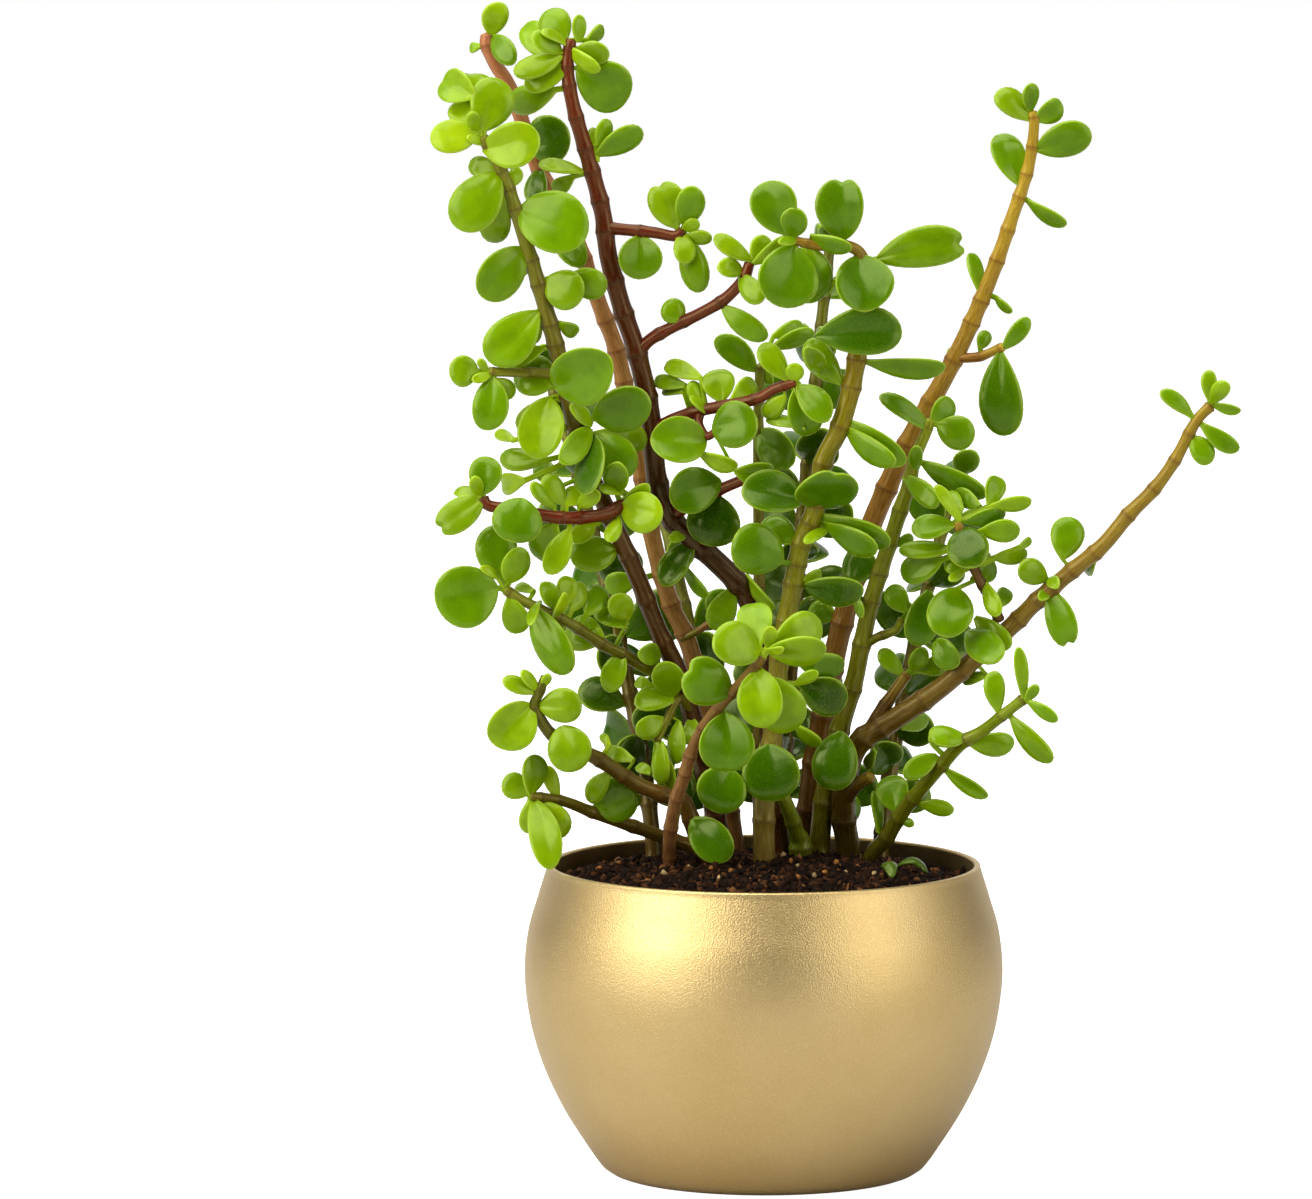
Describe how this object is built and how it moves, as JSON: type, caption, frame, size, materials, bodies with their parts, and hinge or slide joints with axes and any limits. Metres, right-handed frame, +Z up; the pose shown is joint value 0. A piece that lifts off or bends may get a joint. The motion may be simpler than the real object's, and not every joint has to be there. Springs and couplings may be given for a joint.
{
  "type": "potted jade plant",
  "caption": "Potted jade plant: upright and leaning cuttings with round fleshy leaves and ringed stems in a gold bowl pot.",
  "frame": {"origin": "centre of the flat base of the pot, on the surface that the pot stands on", "axes": "+Z up along the pot's axis, -Y to the front that the picture shows, +X to the right in the picture"},
  "size_m": [0.1614, 0.1129, 0.2348],
  "materials": {
    "pot_gold": "satin gold lacquer with a fine grain",
    "potting_soil": "dark crumbly peat and bark with pale grains",
    "leafy_stem": "glossy fleshy leaves on ringed stems",
    "bare_stem": "bare stem with a dry cut end"
  },
  "bodies": {
    "root": {"pot": "pot_gold", "soil": "potting_soil", "stem_front": "leafy_stem", "stem_centre": "leafy_stem", "stem_leader": "leafy_stem", "stem_left": "leafy_stem", "stem_low_left": "leafy_stem", "stem_lowest_left": "leafy_stem", "stem_tan": "leafy_stem", "stem_thin": "leafy_stem", "stem_stub": "bare_stem", "stem_green": "leafy_stem", "stem_right": "leafy_stem", "stem_long": "leafy_stem", "stem_low_right": "leafy_stem", "stem_rear_1": "leafy_stem", "stem_rear_2": "leafy_stem", "stem_rear_3": "leafy_stem", "stem_rear_4": "leafy_stem", "loose_leaf_1": "leafy_stem", "loose_leaf_2": "leafy_stem"}
  },
  "joints": []
}
